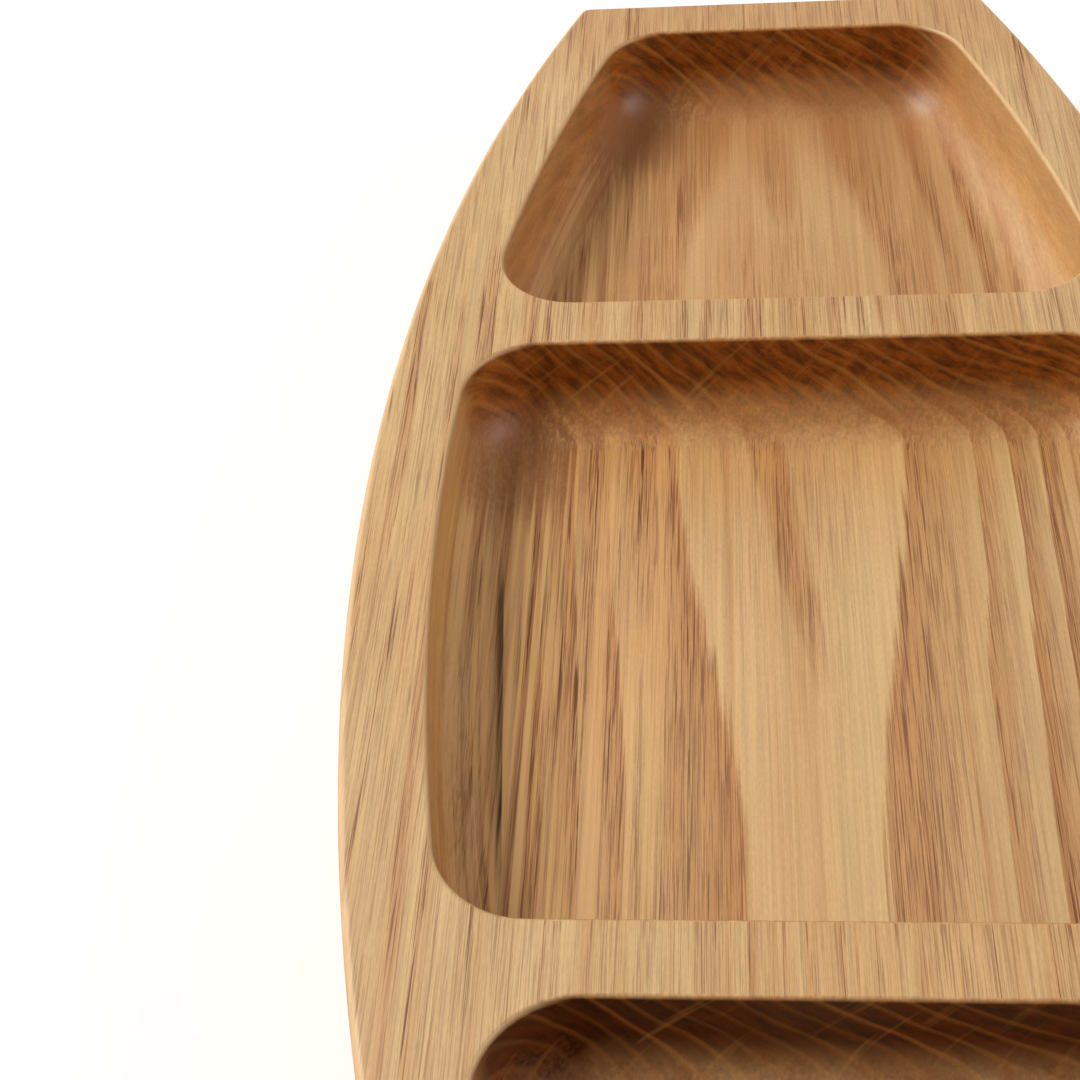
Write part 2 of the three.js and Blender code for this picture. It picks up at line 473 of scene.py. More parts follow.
def turned(name, profile):
    """A mesh turned about Z from radius and height, in millimetres. Points on the axis close it."""
    lathe = bmesh.new()
    rings = []
    for radius, z in profile:
        if radius == 0:
            rings.append([lathe.verts.new((0, 0, z * MM))] * TURNED_STEPS)
        else:
            rings.append([lathe.verts.new(place) for place in circle(0, 0, z, radius, TURNED_STEPS)])
    for lower, upper in zip(rings, rings[1:]):
        for i in range(TURNED_STEPS):
            j = (i + 1) % TURNED_STEPS
            corners = dict.fromkeys((lower[i], lower[j], upper[j], upper[i]))
            lathe.faces.new(corners)
    bmesh.ops.remove_doubles(lathe, verts=lathe.verts, dist=WELD_DISTANCE * MM)
    bmesh.ops.recalc_face_normals(lathe, faces=lathe.faces)
    mesh = bpy.data.meshes.new(name)
    lathe.to_mesh(mesh)
    lathe.free()
    smooth_but_sharp(mesh)
    return shown(name, mesh)


def one_foot():
    """A tapered rubber foot with a bore from below, a web, and a hole through it."""
    base = FOOT_BASE_RADIUS - FOOT_EASE
    return turned(
        "foot_mould",
        [
            (BORE_RADIUS, FOOT_LIP),
            (BORE_RADIUS + FOOT_LIP, 0),
            *arc(base, FOOT_EASE, FOOT_EASE, -pi / 2, 0, QUARTER_STEPS),
            (FOOT_TOP_RADIUS, FOOT_HEIGHT - FOOT_LIP),
            (FOOT_TOP_RADIUS - FOOT_LIP, FOOT_HEIGHT),
            (HOLE_RADIUS, FOOT_HEIGHT),
            (HOLE_RADIUS, WASHER_SEAT),
            (BORE_RADIUS, WASHER_SEAT),
            (BORE_RADIUS, FOOT_LIP),
        ],
    )


def one_washer():
    return turned(
        "washer_blank",
        [
            (HOLE_RADIUS, HEAD_SEAT),
            (WASHER_RADIUS - WASHER_EASE, HEAD_SEAT),
            (WASHER_RADIUS, HEAD_SEAT + WASHER_EASE),
            (WASHER_RADIUS, WASHER_SEAT - WASHER_EASE),
            (WASHER_RADIUS - WASHER_EASE, WASHER_SEAT),
            (HOLE_RADIUS, WASHER_SEAT),
            (HOLE_RADIUS, HEAD_SEAT),
        ],
    )


def cross_driver(low, reach, width):
    """One bar of the cross that is cut into a screw head. It narrows towards the bottom of the recess."""
    driver = bmesh.new()
    bmesh.ops.create_cube(driver, size=2)
    for corner in driver.verts:
        outside = corner.co.z < 0
        taper = 1.0 if outside else RECESS_TAPER
        height = low - 1 if outside else low + RECESS_DEPTH
        corner.co = Vector((corner.co.x * reach * taper, corner.co.y * width * taper, height)) * MM
    mesh = bpy.data.meshes.new("driver")
    driver.to_mesh(mesh)
    driver.free()
    return shown("driver", mesh)


def one_screw():
    """A pan-head screw, head down, with a cross recess."""
    turns = [pi / 2 * i / DOME_STEPS for i in range(DOME_STEPS + 1)]
    screw = turned(
        "screw_blank",
        [
            *((HEAD_RADIUS * sin(a), HEAD_SEAT - HEAD_HEIGHT * (1 + cos(a)) / 2) for a in turns),
            (HEAD_RADIUS, HEAD_SEAT),
            (SHANK_RADIUS, HEAD_SEAT),
            (SHANK_RADIUS, SCREW_TIP - SCREW_POINT),
            (0, SCREW_TIP),
        ],
    )
    for reach, width in ((RECESS_ARM, RECESS_HALF_WIDTH), (RECESS_HALF_WIDTH, RECESS_ARM)):
        cutter = cross_driver(HEAD_SEAT - HEAD_HEIGHT, reach, width)
        cut = screw.modifiers.new("cross_recess", "BOOLEAN")
        cut.object = cutter
        cut.operation = "DIFFERENCE"
        cut.solver = "EXACT"
        screw = made_plain(screw, "screw_blank")
        bpy.data.objects.remove(cutter)
    smooth_but_sharp(screw.data)
    return screw


def four_feet_tree():
    """Puts one piece at each of the four places where a foot stands."""
    tree, nodes, given, made = new_tree(
        "four_feet",
        "GeometryNodeTree",
        [
            ("Piece", "NodeSocketObject"),
            ("Apart Across", "NodeSocketFloat"),
            ("Apart Along", "NodeSocketFloat"),
            ("Finish", "NodeSocketMaterial"),
        ],
        [("Set", "NodeSocketGeometry")],
    )
    across, along = given["Apart Across"], given["Apart Along"]
    grid = {"Size X": across, "Size Y": along, "Vertices X": 2, "Vertices Y": 2}
    places = nodes.add("GeometryNodeMeshGrid", grid).outputs["Mesh"]
    piece = nodes.add("GeometryNodeObjectInfo", {"Object": given["Piece"]}).outputs["Geometry"]
    stood = nodes.add("GeometryNodeInstanceOnPoints", {"Points": places, "Instance": piece}).outputs[0]
    end_tree(nodes, stood, given["Finish"], made["Set"])
    return tree


def four_of(tree, piece, name, finish):
    """The piece set at its four places, as one mesh. The single piece is removed."""
    maker = shown(name + "_places", bpy.data.meshes.new(name))
    values = {
        "Piece": piece,
        "Apart Across": 2 * FOOT_X * MM,
        "Apart Along": 2 * FOOT_Y * MM,
        "Finish": finish,
    }
    run_tree(maker, tree, values)
    made = made_plain(maker, name)
    bpy.data.objects.remove(piece)
    return made


# Finishes


def new_finish(name):
    material = bpy.data.materials.new(name)
    material.use_nodes = True
    material.node_tree.nodes.clear()
    nodes = Nodes(material.node_tree)
    shader = nodes.add("ShaderNodeBsdfPrincipled")
    nodes.add("ShaderNodeOutputMaterial", {"Surface": shader.outputs[0]})
    return material, nodes, shader


def object_point(nodes):
    """Object coordinates in millimetres, and the surface's own direction."""
    where = nodes.add("ShaderNodeTexCoord").outputs
    point = nodes.add("ShaderNodeVectorMath", {0: where["Object"], "Scale": 1 / MM}, operation="SCALE")
    return point.outputs["Vector"], where["Normal"]


def handling_group():
    """Faint smears and fine specks that use and cleaning leave on any surface."""
    tree, nodes, given, made = new_tree(
        "handling_marks",
        "ShaderNodeTree",
        [("Point", "NodeSocketVector"), ("Smear Size", "NodeSocketFloat"), ("Speck Size", "NodeSocketFloat")],
        [("Smears", "NodeSocketFloat"), ("Specks", "NodeSocketFloat")],
    )

    def at_size(size, detail):
        scale = nodes.math("DIVIDE", 1.0, size)
        point = nodes.add("ShaderNodeVectorMath", {0: given["Point"], "Scale": scale}, operation="SCALE")
        return nodes.noise(point.outputs["Vector"], detail)

    nodes.put(made["Smears"], nodes.ramp(at_size(given["Smear Size"], 3.0), 0.32, 0.7))
    nodes.put(made["Specks"], nodes.ramp(at_size(given["Speck Size"], 1.0), 0.5, 0.72))
    return tree


def handling_marks(nodes, handling, point, smear_size, speck_size):
    """The smears and specks of one finish, at its own sizes in millimetres."""
    values = {"Point": point, "Smear Size": smear_size, "Speck Size": speck_size}
    marks = nodes.add("ShaderNodeGroup", values, node_tree=handling).outputs
    return marks["Smears"], marks["Specks"]


def fine_relief(nodes, shader, height, strength, depth):
    """Raises and sinks a finish by a mask, to a depth in millimetres."""
    bump = nodes.add("ShaderNodeBump", {"Height": height, "Strength": strength, "Distance": depth * MM})
    nodes.put(shader.inputs["Normal"], bump.outputs[0])


def shaken(nodes, point, radius, across, along, detail, amount):
    """A ring's radius, made uneven over a length across the board and one along it."""
    noise = nodes.grain(point, 1 / across, 1 / along, 1 / across, detail)
    return nodes.math("MULTIPLY_ADD", nodes.math("SUBTRACT", noise, 0.5), amount, radius)


def by_year(nodes, count):
    """How far a point lies into its year, and a number by chance for that year."""
    year = nodes.math("FLOOR", count)
    chance = nodes.add("ShaderNodeTexWhiteNoise", {"W": year}, noise_dimensions="1D").outputs["Value"]
    return nodes.math("SUBTRACT", count, year), chance


def tongue_of_pores(nodes, across, y, slant, shift, tip, root, end, width, strength):
    """Pores between a tip and the tray's end, where the floor is cut just into the next year."""
    from_middle = nodes.math("MULTIPLY_ADD", y, slant, nodes.math("ADD", across, shift))
    half_width = nodes.ramp(y, tip, root, 1.5, width)
    share = nodes.math("DIVIDE", nodes.math("ABSOLUTE", from_middle), half_width)
    shows = nodes.product(nodes.ramp(y, tip, tip + 40.0), nodes.ramp(y, end + 15.0, end))
    return nodes.product(nodes.ramp(share, 1.0, 0.3, 0.0, strength), shows)


def arched_bands(nodes, given):
    """How porous the wood is: bands of early wood that draw arches on the floors."""
    point = given["Point"]
    x, y, z = nodes.add("ShaderNodeSeparateXYZ", {0: point}).outputs
    # The trunk bends a little, so the rings close in on the middle towards both ends
    bend = nodes.math("ADD", nodes.ramp(y, 35.0, -60.0, 0.0, 1.32), nodes.ramp(y, 75.0, 140.0, 0.0, 1.9))
    middle = nodes.ramp(y, 35.0, -60.0, -1.4, -0.1)
    # On end walls they lean over from where the floor shows them, on the outer sides from where the top does
    across = nodes.math("SUBTRACT", x, middle)
    across = nodes.math("MULTIPLY_ADD", nodes.math("SUBTRACT", z, TRAY_FLOOR), given["End Lean"], across)
    inwards = nodes.product(nodes.math("SIGN", x), given["Side Lean"])
    across = nodes.math("MULTIPLY_ADD", nodes.math("SUBTRACT", z, TOP), inwards, across)
    radius = nodes.distance(across, nodes.math("ADD", bend, ARCH_HEIGHT))
    radius = shaken(nodes, point, radius, across=50.0, along=200.0, detail=1.0, amount=0.9)
    radius = shaken(nodes, point, radius, across=7.0, along=80.0, detail=1.0, amount=0.7)
    # Where the cut runs along the grain, fibres break the edge of a ring into long thin teeth
    radius = shaken(nodes, point, radius, across=0.6, along=32.0, detail=2.0, amount=given["Feather"])
    # Early wood with its pores starts on the inner side of each year and thins out from there
    count = nodes.math("DIVIDE", nodes.math("SUBTRACT", radius, FIRST_YEAR), given["Year Width"])
    later = nodes.math("MAXIMUM", nodes.math("SUBTRACT", count, 1.0), 0.0)
    into, chance = by_year(nodes, nodes.math("MULTIPLY_ADD", later, 0.55, count))
    reach = nodes.math("MULTIPLY_ADD", chance, 0.3, 1.0)
    early = nodes.product(
        nodes.ramp(into, 0.0, nodes.ramp(y, 45.0, 85.0, 0.07, 0.3)),
        nodes.ramp(nodes.math("DIVIDE", into, reach), 1.0, 0.0),
        nodes.math("MULTIPLY_ADD", chance, 0.3, 0.7),
        nodes.ramp(count, 1.5, 4.5, 1.0, 0.65),
    )
    for tongue in TONGUES:
        early = nodes.math("MAXIMUM", early, tongue_of_pores(nodes, across, y, **tongue))
    return early


def growth_ring_group():
    """Where a point of the board lies in the tree's yearly rings, on the floors and on end grain."""
    tree, nodes, given, made = new_tree(
        "oak_growth_rings",
        "ShaderNodeTree",
        [
            ("Point", "NodeSocketVector"),
            ("Year Width", "NodeSocketFloat"),
            ("End Lean", "NodeSocketFloat"),
            ("Side Lean", "NodeSocketFloat"),
            ("Feather", "NodeSocketFloat"),
        ],
        [
            ("Earlywood", "NodeSocketFloat"),
            ("Ring Line", "NodeSocketFloat"),
            ("Outwards", "NodeSocketFloat"),
            ("Round", "NodeSocketFloat"),
        ],
    )
    nodes.put(made["Earlywood"], arched_bands(nodes, given))
    x, _, z = nodes.add("ShaderNodeSeparateXYZ", {0: given["Point"]}).outputs
    across, up = nodes.math("SUBTRACT", x, PITH_X), nodes.math("SUBTRACT", z, PITH_Z)
    radius = nodes.distance(across, up)
    radius = shaken(nodes, given["Point"], radius, across=40.0, along=200.0, detail=1.0, amount=5.0)
    radius = shaken(nodes, given["Point"], radius, across=9.0, along=90.0, detail=1.0, amount=1.6)
    into, chance = by_year(nodes, nodes.math("DIVIDE", radius, given["Year Width"]))
    line = nodes.product(nodes.ramp(into, 0.0, 0.16), nodes.ramp(into, 0.42, 0.16))
    nodes.put(made["Ring Line"], nodes.product(line, nodes.math("MULTIPLY_ADD", chance, 0.75, 0.25)))
    nodes.put(made["Outwards"], radius)
    nodes.put(made["Round"], nodes.math("MULTIPLY", nodes.math("ARCTAN2", up, across), PITH_DISTANCE))
    return tree


def in_from_side(nodes, x, y):
    """How far a point lies in from the nearer of the board's bowed sides."""
    from_centre = nodes.math("SUBTRACT", nodes.math("ABSOLUTE", x), SIDE_CENTRE)
    return nodes.math("SUBTRACT", SIDE_RADIUS, nodes.distance(from_centre, y))


def oak_places(nodes):
    """Where a point of the board lies and which way it faces, with masks for the parts of the board."""
    point, facing = object_point(nodes)
    at = SimpleNamespace(point=point)
    at.x, at.y, at.z = nodes.add("ShaderNodeSeparateXYZ", {0: point}).outputs
    parts = nodes.add("ShaderNodeSeparateXYZ", {0: facing}).outputs
    at.sideways, at.along, at.upward = (nodes.math("ABSOLUTE", part) for part in parts)
    at.to_end = nodes.math("SUBTRACT", at.along, at.sideways)
    at.inwards = in_from_side(nodes, at.x, at.y)
    from_end = nodes.math("SUBTRACT", LENGTH / 2, nodes.math("ABSOLUTE", at.y))
    at.in_tray = nodes.product(nodes.ramp(at.inwards, 4.0, 8.0), nodes.ramp(from_end, 6.0, 9.0))
    at.in_hollow = nodes.ramp(at.z, TOP - 2.0, TRAY_FLOOR + 2.0)
    at.in_far_tray = nodes.product(nodes.ramp(at.y, 50.0, 70.0), at.in_hollow)
    at.on_top = nodes.ramp(at.z, TOP - 0.8, TOP - 0.1)
    left_floor = nodes.product(nodes.ramp(at.x, -14.0, -28.0), nodes.ramp(at.upward, 0.8, 0.98, 0.2, 1.0))
    at.left_floor = nodes.product(left_floor, nodes.minus(at.in_hollow, at.in_far_tray, 0.7))
    at.end_wall = nodes.math("POWER", at.along, 3.4)
    # Faint straight fibres, wider streaks, and slow changes of tone along the board
    at.fibre = nodes.grain(point, 1.8, 1 / 70, 1.8, 3.0, 0.65)
    at.streak = nodes.grain(point, 0.35, 1 / 130, 0.35)
    at.tone = nodes.grain(point, 1 / 22, 1 / 160, 1 / 22)
    return at


def oak_rings(nodes, at):
    """The growth rings as the board cuts them."""
    end_lean = nodes.ramp(at.along, 0.05, 0.9, 0.0, ARCH_LEAN)
    side_lean = nodes.ramp(at.upward, 0.95, 0.3, 0.0, ARCH_LEAN)
    values = {
        "Point": at.point,
        "Year Width": YEAR_WIDTH,
        "End Lean": nodes.product(end_lean, at.in_tray),
        "Side Lean": nodes.product(side_lean, nodes.math("SUBTRACT", 1.0, at.in_tray)),
        "Feather": nodes.ramp(at.along, 0.0, 0.6, 0.6, 0.1),
    }
    return nodes.add("ShaderNodeGroup", values, node_tree=growth_ring_group()).outputs


def oily_shaded_corners(nodes, at):
    """1 in the far-left corner of each tray, which took in the most oil and also gets painted shade. The edge
    frays along the fibres.
    """
    frayed = nodes.math("SUBTRACT", at.fibre, 0.5)
    oil_and_shade = 0.0
    for _, far in tray_edges():
        corner_y = far - TRAY_CORNER
        corner_x = SIDE_CENTRE + sqrt((SIDE_RADIUS - SIDE_RIM - TRAY_CORNER) ** 2 - corner_y**2)
        deepest = (-corner_x - 8, corner_y, TRAY_FLOOR + 4)
        away = nodes.add("ShaderNodeVectorMath", {0: at.point, 1: deepest}, operation="DISTANCE")
        away = nodes.math("MULTIPLY_ADD", frayed, 24.0, away.outputs["Value"])
        oil_and_shade = nodes.math("MAXIMUM", oil_and_shade, nodes.ramp(away, 18.0, 7.0))
    return nodes.product(oil_and_shade, at.in_hollow)


def early_wood(nodes, at, rings):
    """How much a point shows of the porous bands."""
    # They are lost on the steep walls of the trays
    steep = nodes.product(nodes.ramp(at.upward, 0.9, 0.4), at.in_tray)
    early = nodes.less(rings["Earlywood"], steep, 0.8)
    # On the sanded top they are fainter, and loose streaks of open pores lie between them
    loose = nodes.ramp(nodes.grain(at.point, 0.55, 1 / 90, 0.55, 2.0, 0.6), 0.5, 0.66, 0.0, 0.75)
    early = nodes.less(early, at.on_top, 0.6)
    return nodes.math("MAXIMUM", early, nodes.product(loose, at.on_top))


def open_vessels(nodes, at):
    """Vessels of the wood that a cut lays bare as fine dashes, in rows along the board."""
    dash = nodes.ramp(nodes.grain(at.point, 4.2, 1 / 18, 1.8), 0.53, 0.6)
    row = nodes.ramp(nodes.grain(at.point, 1.5, 1 / 80, 1.5, 2.0, 0.6), 0.38, 0.56, 0.5, 1.0)
    fine = nodes.ramp(nodes.grain(at.point, 7.0, 1 / 14, 3.0, 1.0), 0.54, 0.64)
    return nodes.math("MAXIMUM", nodes.product(dash, row), nodes.math("MULTIPLY", fine, 0.7))


def dark_pores(nodes, at, vessels, early, oil_and_shade):
    """The vessels that show dark: most of them in early wood, and a few between its bands."""
    left_rows = nodes.product(nodes.ramp(at.streak, 0.42, 0.56, 0.0, 0.5), at.left_floor)
    between = nodes.math("MULTIPLY_ADD", at.on_top, 0.2, nodes.math("ADD", left_rows, 0.07))
    pores = nodes.product(vessels, nodes.math("MULTIPLY_ADD", early, 0.85, between))
    # They fade in the coves of the end walls
    pores = nodes.product(pores, nodes.ramp(at.to_end, 0.03, 0.5, 1.0, 0.3))
    # The far tray is scraped smooth: few stay open in its coves and before its far wall
    scraped = nodes.math("MAXIMUM", nodes.ramp(at.upward, 0.995, 0.9), nodes.ramp(at.y, 108.0, 134.0))
    pores = nodes.less(pores, nodes.product(scraped, at.in_far_tray), 0.75)
    # Oil hides them in the far-left corners, which are also painted darker as shade
    return nodes.less(pores, oil_and_shade, 0.8)


def long_grain(nodes, at, early, pores):
    """Oak cut along the grain: late wood, brown bands of early wood, fibres and pores."""
    late = nodes.mix(nodes.ramp(at.tone, 0.3, 0.7), LATE_WOOD, PALE_LATE_WOOD)
    # Along the left side of the trays the oil sits deeper and darkens the late wood. Towards the far end of
    # the trays the late wood is painted darker as shade, and the far end of the top is darker too
    on_left = nodes.ramp(at.x, -18.0, -38.0, 0.0, 0.75)
    on_left = nodes.product(on_left, nodes.ramp(at.x, -58.0, -46.0, 0.1, 1.0))
    soaked_and_shaded = nodes.math("ADD", nodes.ramp(at.y, 0.0, 100.0, 0.0, 0.6), on_left, clamp=True)
    soaked_and_shaded = nodes.product(at.in_hollow, soaked_and_shaded)
    soaked_and_shaded = nodes.math("MAXIMUM", soaked_and_shaded, nodes.ramp(at.y, 115.0, 150.0, 0.0, 0.6))
    late = nodes.mix(soaked_and_shaded, late, SOAKED_AND_SHADED_LATE_WOOD)
    band = nodes.product(early, nodes.minus(0.85, at.on_top, 0.3))
    band = nodes.math("ADD", band, nodes.ramp(at.streak, 0.45, 0.75, 0.0, 0.35))
    # In the coves of the end walls the bands spread, and the pale wood between them runs out in fingertips
    spread = nodes.product(nodes.ramp(at.to_end, 0.1, 0.7, 0.0, 0.2), at.in_tray)
    wood = nodes.mix(nodes.math("ADD", band, spread, clamp=True), late, EARLY_WOOD)
    wood = nodes.mix(1.0, wood, nodes.ramp(at.fibre, 0.25, 0.75, 0.87, 1.08), "MULTIPLY")
    grit = nodes.ramp(nodes.grain(at.point, 5.0, 0.8, 5.0, 1.0), 0.3, 0.7, 0.95, 1.05)
    wood = nodes.mix(1.0, wood, grit, "MULTIPLY")
    return nodes.mix(nodes.math("MULTIPLY", pores, 0.95), wood, OPEN_PORE)


def left_of_trays(nodes, at, oil_and_shade):
    """1 along the left side of the trays, apart from their far-left corners with oil and painted shade."""
    left = nodes.product(nodes.ramp(at.inwards, 36.0, 26.0), nodes.ramp(at.x, 0.0, -10.0))
    left = nodes.product(left, nodes.minus(at.in_hollow, at.in_far_tray, 0.3))
    return nodes.less(left, oil_and_shade, 0.8)


def streaky_left(nodes, at, wood, left_side):
    """Stained fibres between pale ones on the left side of the trays. In the cove they follow the side."""
    beside = nodes.add("ShaderNodeCombineXYZ", {"X": at.inwards, "Y": at.y, "Z": at.z}).outputs[0]
    on_floor, in_cove = (nodes.grain(point, 0.7, 1 / 110, 0.7, 3.0, 0.65) for point in (at.point, beside))
    stained = nodes.mix(nodes.ramp(at.upward, 0.99, 0.9), on_floor, in_cove)
    pale = nodes.product(nodes.ramp(stained, 0.56, 0.4, 0.0, 0.9), left_side)
    cream = nodes.product(nodes.ramp(at.streak, 0.49, 0.36, 0.0, 0.4), at.left_floor)
    wood = nodes.mix(nodes.math("MAXIMUM", pale, cream), wood, PALE_FIBRE)
    brown = nodes.product(nodes.ramp(stained, 0.56, 0.66, 0.0, 0.45), left_side)
    return nodes.mix(brown, wood, STAINED_FIBRE)


def mineral_stain(nodes, at):
    """One dark line along the left cove of the middle tray, sharp on its right."""
    from_line = nodes.math("SUBTRACT", nodes.math("MULTIPLY_ADD", at.y, STAIN_SLANT, at.x), STAIN_X)
    return nodes.product(
        nodes.ramp(from_line, 0.6, 0.35),
        nodes.ramp(from_line, -0.8, -0.1, 0.15, 0.97),
        nodes.ramp(from_line, -1.7, -0.8),
        nodes.ramp(at.y, -72.0, -50.0),
        nodes.ramp(at.y, 6.0, -8.0),
        nodes.ramp(at.fibre, 0.35, 0.6, 0.5, 1.0),
    )


def oil_and_shade_tints(nodes, at, wood):
    """What the oil does to oak cut along the grain, with painted shade and bounce light in the trays."""
    # The floor of the middle tray is painted more golden towards its far wall, as warm light bounced off that
    # wall
    painted_bounce_light = nodes.product(nodes.ramp(at.y, 5.0, 34.0), nodes.ramp(at.y, 48.0, 44.0), at.in_hollow)
    wood = nodes.tinted(wood, painted_bounce_light, BOUNCE_LIGHT_TINT)
    # and so is the floor of the far tray, which is painted darker there too, as shade
    wood = nodes.tinted(wood, nodes.product(nodes.ramp(at.y, 95.0, 138.0), at.in_far_tray), FAR_WALL_SHADE_TINT)
    # The milled walls of the trays take in more oil than the sanded outside, so they are warmer. The warm
    # tint on the steep walls and on the coves of the end walls is also painted warm shade, as light bounced
    # between the walls
    thirst_and_shade = nodes.product(nodes.ramp(at.upward, 0.65, 0.3), at.in_tray)
    warm_oil_and_shade = nodes.mix(thirst_and_shade, NO_TINT, WALL_OIL_AND_SHADE_TINT)
    end_thirst_and_shade = nodes.product(nodes.ramp(at.along, 0.0, 0.7), at.in_tray)
    warm_oil_and_shade = nodes.mix(end_thirst_and_shade, warm_oil_and_shade, END_COVE_OIL_AND_SHADE_TINT)
    return nodes.mix(1.0, wood, warm_oil_and_shade, "MULTIPLY")


def end_grain(nodes, at, rings, vessels):
    """Oak cut across: blotches drawn out along the rings, soft pale ring lines, and thin rays across them."""

    def on_rings(round_length, outward_length):
        return nodes.add("ShaderNodeCombineXYZ", {
            "X": nodes.math("DIVIDE", rings["Round"], round_length),
            "Y": nodes.math("DIVIDE", rings["Outwards"], outward_length),
            "Z": nodes.math("DIVIDE", at.y, 14.0),
        }).outputs[0]

    depth = nodes.math("MULTIPLY_ADD", at.in_tray, 0.35, 0.15)
    darkest, palest = nodes.math("SUBTRACT", 1.0, depth), nodes.math("ADD", 1.0, depth)
    blotch = nodes.ramp(nodes.noise(on_rings(5.0, 1.5), 3.0, 0.6), 0.3, 0.7, darkest, palest)
    # The end walls in the trays are darker than the outer ends, partly from the oil and partly as painted
    # shade. Towards the near end they are painted darker still as shade, with fainter ring lines
    wood = nodes.mix(nodes.ramp(at.tone, 0.3, 0.7), SHADED_END_WOOD, PALE_SHADED_END_WOOD)
    wood = nodes.mix(nodes.ramp(at.y, 30.0, -90.0), wood, SHADED_NEAR_END_WOOD)
    wood = nodes.mix(at.in_tray, OUTER_END_WOOD, wood)
    wood = nodes.mix(1.0, wood, blotch, "MULTIPLY")
    ring_line = nodes.product(rings["Ring Line"], nodes.ramp(at.y, 20.0, -90.0, 0.8, 0.5))
    wood = nodes.mix(ring_line, wood, RING_LINE)
    ray = nodes.ramp(nodes.noise(on_rings(1.3, 20.0), 1.0), 0.57, 0.78)
    ray = nodes.product(ray, nodes.ramp(at.x, 30.0, -30.0, 0.5, 1.0))
    wood = nodes.mix(nodes.math("MULTIPLY", ray, 0.4), wood, RAY)
    pore = nodes.mix(at.in_tray, OUTER_END_PORE, END_PORE)
    return nodes.mix(nodes.math("MULTIPLY", vessels, 0.3), wood, pore)


def mottled(nodes, at, wood, oil_and_shade):
    """Fibres that come up out of the coves are cut at a slant, which mottles the wood. Oil does so too, in
    the far-left corners with their painted shade.
    """
    slanted = nodes.product(nodes.ramp(at.to_end, 0.06, 0.4), nodes.ramp(at.along, 0.98, 0.8))
    slanted = nodes.product(slanted, nodes.minus(at.in_tray, at.in_far_tray, 0.7))
    slanted = nodes.math("MAXIMUM", slanted, nodes.minus(oil_and_shade, at.in_far_tray, 0.7))
    mottle = nodes.ramp(nodes.grain(at.point, 1.5, 0.7, 1.5, 2.0, 0.6), 0.3, 0.7, 0.88, 1.14)
    return nodes.tinted(wood, slanted, mottle)


def oiled_oak(handling):
    """Ring-porous oak with an oil finish: pore lines along the grain, darker end grain with its rays."""
    material, nodes, shader = new_finish("oiled_oak")
    at = oak_places(nodes)
    rings = oak_rings(nodes, at)
    oil_and_shade = oily_shaded_corners(nodes, at)
    early = early_wood(nodes, at, rings)
    vessels = open_vessels(nodes, at)
    pores = dark_pores(nodes, at, vessels, early, oil_and_shade)
    left_side = left_of_trays(nodes, at, oil_and_shade)

    wood = long_grain(nodes, at, early, pores)
    wood = streaky_left(nodes, at, wood, left_side)
    wood = nodes.mix(mineral_stain(nodes, at), wood, MINERAL_STAIN)
    wood = oil_and_shade_tints(nodes, at, wood)
    # Fibres are cut across on the end walls, and partly in the corners of the trays. The corners are made
    # darker on the left than on the right as painted shade
    corner = nodes.product(at.sideways, at.along, nodes.ramp(at.x, -20.0, 20.0, 2.2, 0.6))
    cut_across = nodes.math("ADD", corner, at.end_wall, clamp=True)
    wood = nodes.mix(cut_across, wood, end_grain(nodes, at, rings, vessels))
    # The far-left corners of the trays are made darker: partly oil, partly painted shade
    wood = nodes.mix(nodes.math("MULTIPLY", oil_and_shade, 0.6), wood, OILY_SHADED_CORNER)
    wood = mottled(nodes, at, wood, oil_and_shade)
    # Painted highlight: the rolled rims along the sides are made paler where they catch the light
    rolled = nodes.ramp(at.z, TOP - 1.1, TOP - 0.4)
    rim_highlight = nodes.product(rolled, nodes.ramp(at.sideways, 0.1, 0.5, 0.0, 0.6))
    nodes.put(shader.inputs["Base Color"], nodes.mix(rim_highlight, wood, RIM_HIGHLIGHT))

    smears, _ = handling_marks(nodes, handling, at.point, smear_size=35.0, speck_size=1.4)
    rough = nodes.math("MULTIPLY_ADD", smears, 0.07, 0.4)
    nodes.put(shader.inputs["Roughness"], nodes.math("MULTIPLY_ADD", pores, 0.15, rough))
    # Thirsty end grain and the streaky left side shine less
    shine = nodes.minus(0.5, at.end_wall, 0.3)
    shine = nodes.math("MULTIPLY_ADD", left_side, -0.2, shine, clamp=True)
    nodes.put(shader.inputs["Specular IOR Level"], shine)
    height = nodes.math("MULTIPLY_ADD", at.fibre, 0.25, nodes.math("MULTIPLY", pores, -1.0))
    fine_relief(nodes, shader, height, strength=0.35, depth=0.06)
    return material


def moulded_rubber(handling):
    material, nodes, shader = new_finish("moulded_rubber")
    point, _ = object_point(nodes)
    smears, specks = handling_marks(nodes, handling, point, smear_size=3.0, speck_size=0.25)
    worn = nodes.mix(smears, linear(34, 32, 30), linear(50, 48, 45))
    dusty = nodes.mix(nodes.math("MULTIPLY", specks, 0.3), worn, linear(74, 71, 66))
    nodes.put(shader.inputs["Base Color"], dusty)
    nodes.put(shader.inputs["Roughness"], nodes.math("MULTIPLY_ADD", smears, -0.12, 0.82))
    fine_relief(nodes, shader, specks, strength=0.4, depth=0.05)
    return material


def zinc_steel(handling):
    material, nodes, shader = new_finish("zinc_steel")
    shader.inputs["Metallic"].default_value = 1.0
    point, _ = object_point(nodes)
    smears, specks = handling_marks(nodes, handling, point, smear_size=1.6, speck_size=0.2)
    plated = nodes.mix(smears, linear(188, 190, 194), linear(206, 204, 196))
    dulled = nodes.mix(nodes.math("MULTIPLY", specks, 0.35), plated, linear(140, 140, 142))
    nodes.put(shader.inputs["Base Color"], dulled)
    nodes.put(shader.inputs["Roughness"], nodes.math("MULTIPLY_ADD", smears, 0.16, 0.24))
    fine_relief(nodes, shader, specks, strength=0.2, depth=0.02)
    return material


